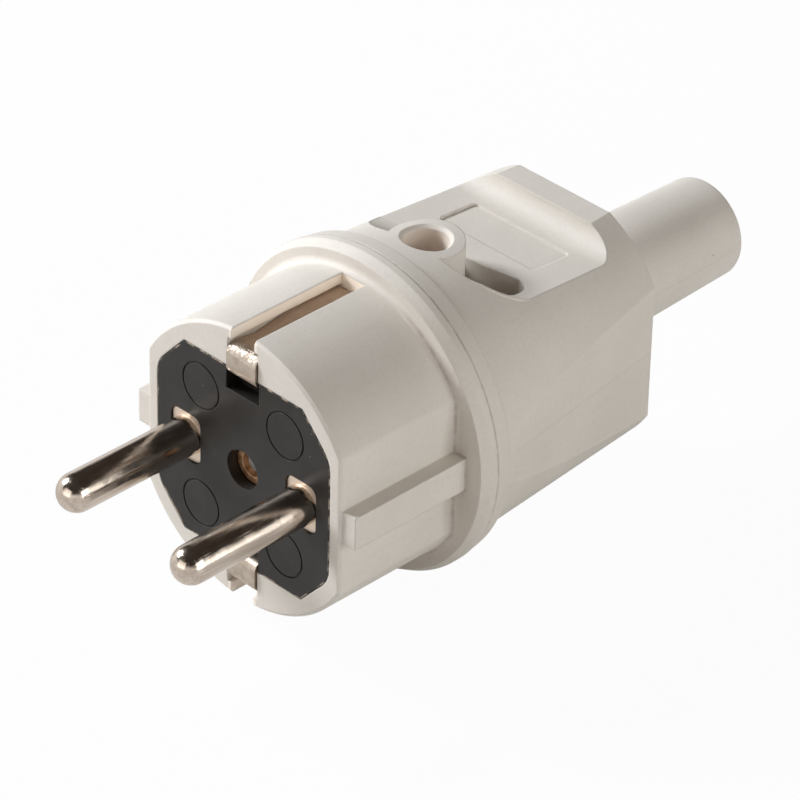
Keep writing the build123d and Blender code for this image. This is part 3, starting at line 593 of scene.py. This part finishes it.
# %% Off-white moulded plastic
PLASTIC = (0.715, 0.665, 0.60, 1)
PALE_PLASTIC = (0.75, 0.70, 0.635, 1)
CLOUDED = (0.3, 0.7)
FLOW_LINE = (0.68, 0.62, 0.55, 1)
FLOWED = (0.55, 0.8)
FLOW_SHARE = 0.35
MOTTLE = (0.63, 0.575, 0.51, 1)
MOTTLED = (0.42, 0.7)
MOTTLE_SHARE = 0.22
# Painted shade, darkest in recesses that see little open sky
RECESS_SHADE = (0.50, 0.40, 0.30, 1)
RECESS_SHADE_RANGE = (0.5, 0.95)
RECESS_SHADE_SHARE = 0.12
RECESS_REACH = 2.2
RECESS_SAMPLES = 8
RUBBED_PLASTIC = (0.78, 0.745, 0.69, 1)
RUBBED_SHARE = 0.3
# Painted light for the insides of the grooves and of the screw hole
GROOVE_PAINTED_LIGHT = (0.95, 0.86, 0.75, 1)
HOLE_PAINTED_LIGHT = (0.79, 0.695, 0.605, 1)
GRIME = (0.30, 0.215, 0.145, 1)
GRIME_PATCHES = (0.35, 0.62)
PARTING_LINE = (0.13, 0.04)
PARTING_START = (22.6, 26.6)
PARTING_SHARE = 0.1
BURNT_PLASTIC = (0.20, 0.13, 0.07, 1)
BURNT_SHARE = 0.8
PLASTIC_SHEEN = 0.38
WAVE_DEPTH = 0.03
SEAM_DEPTH = 0.015
SKIN_DEPTH = 0.008


def moulded_plastic(name, gloss, edge_radius):
    """Off-white plastic with that roughness and with edges that look rounded to that radius."""
    finish = Finish(bpy.data.materials.new(name))
    where = place(finish)
    x, y, z = (axis(finish, where, letter) for letter in "XYZ")
    soft = rounded(finish, edge_radius)
    edge = edges(finish, soft)
    clouding = cloud(finish, where, grain=9.0, detail=3.0)
    flow = cloud(finish, where, grain=1.6, detail=3.0, stretch=(1, 7, 1), shift=3.0)
    mottle = cloud(finish, where, grain=0.45, shift=5.0)
    grain = cloud(finish, where, grain=0.22)
    patches = step(finish, cloud(finish, where, grain=1.3, detail=3.0, shift=11.0), *GRIME_PATCHES)
    burnt = specks(finish, where, spacing=6.5, size=0.2)
    parting = step(finish, abs(z), *PARTING_LINE) * step(finish, y, *PARTING_START)
    reach = {"Distance": RECESS_REACH * MM}
    open_sky = finish.node("AmbientOcclusion", {"samples": RECESS_SAMPLES}, reach, out="AO")
    tone = blend(finish, step(finish, clouding, *CLOUDED), PLASTIC, PALE_PLASTIC)
    tone = blend(finish, step(finish, flow, *FLOWED) * FLOW_SHARE, tone, FLOW_LINE)
    tone = blend(finish, step(finish, mottle, *MOTTLED) * MOTTLE_SHARE, tone, MOTTLE)
    # Painted shade: where little open sky reaches, in recesses and corners, the plastic is darkened towards
    # brown.
    tone = blend(finish, step(finish, 1 - open_sky, *RECESS_SHADE_RANGE) * RECESS_SHADE_SHARE, tone, RECESS_SHADE)
    tone = blend(finish, edge * RUBBED_SHARE, tone, RUBBED_PLASTIC)
    # Painted light: the insides of the grooves and of the screw hole are painted paler and warmer.
    tone = blend(finish, in_groove(finish, x, y, z), tone, GROOVE_PAINTED_LIGHT)
    tone = blend(finish, in_hole(finish, x, y, z), tone, HOLE_PAINTED_LIGHT)
    dirty = parting * PARTING_SHARE + grime(finish, x, y, z, edge, patches)
    tone = blend(finish, dirty, tone, GRIME)
    tone = blend(finish, burnt * BURNT_SHARE, tone, BURNT_PLASTIC)
    rough = gloss + 0.10 * flow + 0.08 * grain - 0.06 * edge
    waves = relief(finish, clouding + 0.4 * flow, WAVE_DEPTH, soft)
    seam = relief(finish, parting, SEAM_DEPTH, waves)
    skin = relief(finish, grain + 0.6 * mottle - 3.0 * burnt, SKIN_DEPTH, seam)
    return shade(finish, Base_Color=tone, Roughness=rough, Normal=skin, Specular_IOR_Level=PLASTIC_SHEEN)


housing_finish = moulded_plastic("white_moulding", gloss=0.47, edge_radius=0.25)
hood_finish = moulded_plastic("hood_moulding", gloss=0.49, edge_radius=0.25)
sleeve_finish = moulded_plastic("sleeve_moulding", gloss=0.52, edge_radius=0.3)
flange_rim.data.materials.append(housing_finish)
scoop_ramp.data.materials.append(hood_finish)
slot_lip.data.materials.append(hood_finish)
print("plastics:", housing_finish.name, hood_finish.name, sleeve_finish.name)

# %% [markdown]
# The contact plate is black thermoset: harder than the housing, satin, with a little pale dust on it. Its
# rim was pressed into the housing and is chipped pale here and there, and the same pale colour round the
# rim is also a painted highlight along its edge. The edge mask would chip the moulding marks too, so the
# rim is found from the outline of the plate: two sides and a slanted cut at each corner.

# %% Black moulding
BLACK = (0.015, 0.0132, 0.0115, 1)
BROWN_BLACK = (0.024, 0.0205, 0.0175, 1)
BROWNED = (0.35, 0.7)
PALE_CHIPS_AND_HIGHLIGHT = (0.55, 0.44, 0.34, 1)
CHIP_AND_HIGHLIGHT_RANGE = (0.45, 0.6)
DUST = (0.50, 0.46, 0.42, 1)
DUST_SHARE = 0.5
PLATE_HALF_WIDTH = 14.15
PLATE_HALF_HEIGHT = 12.92
CUT_ACROSS = 0.738
CUT_UP = 0.675
PLATE_CUT = 15.84
RIM_LINE = 0.24
PLATE_EDGE = 0.16
PLATE_SKIN = 0.012
PLATE_GLOSS = 0.34
PLATE_SHEEN = 0.32


def black_moulding():
    """Black thermoset with a chipped rim that also carries a painted highlight, and some dust."""
    finish = Finish(bpy.data.materials.new("black_moulding"))
    where = place(finish)
    x, z = (abs(axis(finish, where, letter)) for letter in "XZ")
    soft = rounded(finish, PLATE_EDGE)
    clouding = cloud(finish, where, grain=4.0, detail=3.0)
    grain = cloud(finish, where, grain=0.18)
    chips_and_highlight = step(finish, cloud(finish, where, grain=1.2, detail=4.0, shift=4.0), *CHIP_AND_HIGHLIGHT_RANGE)
    dust = specks(finish, where, spacing=1.6, size=0.1) + specks(finish, where, spacing=5.0, size=0.2)
    sides = ((x, PLATE_HALF_WIDTH), (z, PLATE_HALF_HEIGHT), (x * CUT_ACROSS + z * CUT_UP, PLATE_CUT))
    near_rim = sum(step(finish, outwards, side - RIM_LINE, side) for outwards, side in sides)
    tone = blend(finish, step(finish, clouding, *BROWNED), BLACK, BROWN_BLACK)
    # The pale rim is partly chips and partly a painted highlight along the plate's edge.
    tone = blend(finish, chips_and_highlight * near_rim, tone, PALE_CHIPS_AND_HIGHLIGHT)
    tone = blend(finish, dust * DUST_SHARE, tone, DUST)
    rough = PLATE_GLOSS + 0.10 * clouding + 0.08 * grain
    skin = relief(finish, clouding + 0.3 * grain, PLATE_SKIN, soft)
    return shade(finish, Base_Color=tone, Roughness=rough, Normal=skin, Specular_IOR_Level=PLATE_SHEEN)


plate_finish = black_moulding()
print("black plastic:", plate_finish.name)

# %% [markdown]
# The pins are turned from brass and nickel plated. Turning leaves very fine rings round the pin, and pushing
# them into sockets leaves scratches along it and wears the plating to a warm brown. All of it could be drawn
# as lines, but it is noise that is drawn out in one direction. The flat foot that shows in the plate beside
# each pin isn't turned, and is dull.

# %% Nickel
NICKEL = (0.66, 0.57, 0.49, 1)
WORN_NICKEL = (0.46, 0.375, 0.305, 1)
SMUDGED = (0.35, 0.7)
SMUDGE_SHARE = 0.7
STREAKED = (0.48, 0.7)
STREAK_SHARE = 0.5
DARK_SCRATCH = (0.30, 0.23, 0.18, 1)
TURNED = (0.42, 0.62)
RINGED = (0.56, 0.7)
RING_SHARE = 0.4
BRIGHT_SCRATCH = (0.82, 0.75, 0.67, 1)
SCRATCHED = (0.58, 0.72)
SCRATCH_SHARE = 0.35
DULL_FOOT = (0.80, 0.67, 0.55, 1)
FOOT_Y = (0.1, 0.25)
PIN_EDGE = 0.1
PIN_SKIN = 0.006
PIN_GLOSS = 0.11


def nickel(name):
    """Worn nickel plating on a turned pin, with a dull foot behind the face of the plate."""
    finish = Finish(bpy.data.materials.new(name))
    where = place(finish)
    soft = rounded(finish, PIN_EDGE)
    smudge = cloud(finish, where, grain=1.1, detail=3.0, stretch=(1, 9, 1))
    rings = cloud(finish, where, grain=0.11, detail=3.0, stretch=(300, 1, 300))
    turned = step(finish, cloud(finish, where, grain=1.8, shift=6.0), *TURNED)
    streaks = cloud(finish, where, grain=0.24, stretch=(1, 60, 1), shift=8.0)
    scratches = step(finish, cloud(finish, where, grain=0.12, stretch=(1, 40, 1), shift=2.0), *SCRATCHED)
    ring_marks = step(finish, rings, *RINGED) * turned
    foot = step(finish, axis(finish, where, "Y"), *FOOT_Y)
    tone = blend(finish, step(finish, smudge, *SMUDGED) * SMUDGE_SHARE, NICKEL, WORN_NICKEL)
    tone = blend(finish, step(finish, streaks, *STREAKED) * STREAK_SHARE, tone, WORN_NICKEL)
    tone = blend(finish, ring_marks * RING_SHARE, tone, DARK_SCRATCH)
    tone = blend(finish, scratches * SCRATCH_SHARE, tone, BRIGHT_SCRATCH)
    tone = blend(finish, foot, tone, DULL_FOOT)
    rough = PIN_GLOSS + 0.06 * smudge + 0.06 * turned + 0.08 * scratches + 0.34 * foot
    marks = (0.3 + turned) * rings + 0.6 * scratches
    skin = relief(finish, marks, PIN_SKIN, soft)
    return shade(finish, Base_Color=tone, Metallic=1.0, Roughness=rough, Normal=skin)


pin_finish = nickel("nickel_pin")
print("nickel:", pin_finish.name)

# %% [markdown]
# The earth strip is rolled spring metal, nickel plated and then rubbed by every socket it went into. The
# rubbing leaves it bright and pitted at the bend and browner down its front leg. Deep in its groove the
# strip is painted a dull brown that is hardly metallic, a painted reflection of the warm groove walls.
# Two materials could meet at the bend, but one with a soft step between them shows no seam.

# %% Rolled strip
RUBBED_STRIP = (0.62, 0.545, 0.47, 1)
DULL_STRIP = (0.47, 0.39, 0.315, 1)
STRIP_PATCHES = (0.35, 0.6)
STRIP_SCRATCHES = (0.5, 0.7)
PITTED = (0.42, 0.58)
PIT_SHARE = 0.45
LEG_Z = (16.6, 14.4)
LEG_SHARE = 0.35
STRIP_EDGE_SHARE = 0.4
# Painted reflection of the warm groove walls, deep in the groove
GROOVE_REFLECTION_TONE = (0.70, 0.525, 0.39, 1)
GROOVE_REFLECTION_SHARE = (0.75, 0.3)
DEEP_Y = (0.7, 2.2)
STRIP_EDGE = 0.15
STRIP_SKIN = 0.09
STRIP_GLOSS = 0.28


def rolled_strip():
    """Rubbed spring strip, with a painted reflection of the groove walls where it lies deep in the groove."""
    finish = Finish(bpy.data.materials.new("rolled_strip"))
    where = place(finish)
    soft = rounded(finish, STRIP_EDGE)
    edge = edges(finish, soft)
    fine = cloud(finish, where, grain=0.10, detail=3.0, stretch=(1, 30, 30), shift=5.0)
    scratches = step(finish, fine, *STRIP_SCRATCHES)
    patches = cloud(finish, where, grain=1.2, detail=3.0)
    pits = step(finish, cloud(finish, where, grain=0.34, shift=9.0), *PITTED)
    deep = step(finish, axis(finish, where, "Y"), *DEEP_Y)
    leg = step(finish, abs(axis(finish, where, "Z")), *LEG_Z)
    tone = blend(finish, step(finish, patches, *STRIP_PATCHES), DULL_STRIP, RUBBED_STRIP)
    tone = blend(finish, LEG_SHARE * leg + PIT_SHARE * pits * (1 - leg), tone, DULL_STRIP)
    tone = blend(finish, edge * STRIP_EDGE_SHARE, tone, RUBBED_STRIP)
    # Painted reflection: deep in the groove the strip is painted a dull brown, and below it is made hardly
    # metallic.
    tone = blend(finish, deep * uneven(patches, *GROOVE_REFLECTION_SHARE), tone, GROOVE_REFLECTION_TONE)
    rough = STRIP_GLOSS + 0.15 * patches + 0.10 * scratches + 0.2 * deep
    skin = relief(finish, 0.2 * scratches + pits * (1 - leg) * (1 - deep), STRIP_SKIN, soft)
    return shade(finish, Base_Color=tone, Metallic=1 - 0.8 * deep, Roughness=rough, Normal=skin)


strip_finish = rolled_strip()
print("strip:", strip_finish.name)

# %% [markdown]
# The threaded bush in the middle of the plate is bare brass that has turned coppery, with browner stains.
# The screws, nuts and clamps inside are zinc plated steel, which is dull with a slightly blotchy bloom. The
# two metals differ only in colour and gloss, so one function makes both.

# %% Brass and zinc
BRASS = (0.92, 0.58, 0.34, 1)
BROWN_BRASS = (0.55, 0.27, 0.13, 1)
ZINC = (0.62, 0.61, 0.59, 1)
ZINC_BLOOM = (0.47, 0.47, 0.47, 1)
STAINED = (0.35, 0.7)
CLEAN_EDGE_SHARE = 0.3
METAL_EDGE = 0.12
METAL_SKIN = 0.004


def plain_metal(name, clean, stained, gloss):
    """Bare or plated metal with stains and with clean edges."""
    finish = Finish(bpy.data.materials.new(name))
    where = place(finish)
    soft = rounded(finish, METAL_EDGE)
    edge = edges(finish, soft)
    stain = cloud(finish, where, grain=0.8, detail=4.0)
    grain = cloud(finish, where, grain=0.08)
    tone = blend(finish, step(finish, stain, *STAINED), clean, stained)
    tone = blend(finish, edge * CLEAN_EDGE_SHARE, tone, clean)
    rough = gloss + 0.22 * stain + 0.06 * grain
    skin = relief(finish, grain + stain, METAL_SKIN, soft)
    return shade(finish, Base_Color=tone, Metallic=1.0, Roughness=rough, Normal=skin)


brass_finish = plain_metal("bare_brass", BRASS, BROWN_BRASS, gloss=0.30)
zinc_finish = plain_metal("zinc_plate", ZINC, ZINC_BLOOM, gloss=0.28)
print("metals:", brass_finish.name, zinc_finish.name)

# %% [markdown]
# Each CAD piece keeps its shape and only gets its finish. The screws, nuts and clamps are alike, so any
# piece that isn't named here takes the zinc finish.

# %% Dress the pieces
dressing = {
    "front_housing": housing_finish,
    "cord_grip_bar": housing_finish,
    "rear_hood": hood_finish,
    "kink_sleeve": sleeve_finish,
    "contact_plate": plate_finish,
    "pin_left": pin_finish,
    "pin_right": pin_finish,
    "earth_bracket": strip_finish,
    "centre_bush": brass_finish,
}
for name, piece in nodes.items():
    for slot in piece.material_slots:
        slot.material = dressing.get(name, zinc_finish)
print("dressed", len(nodes), "pieces")
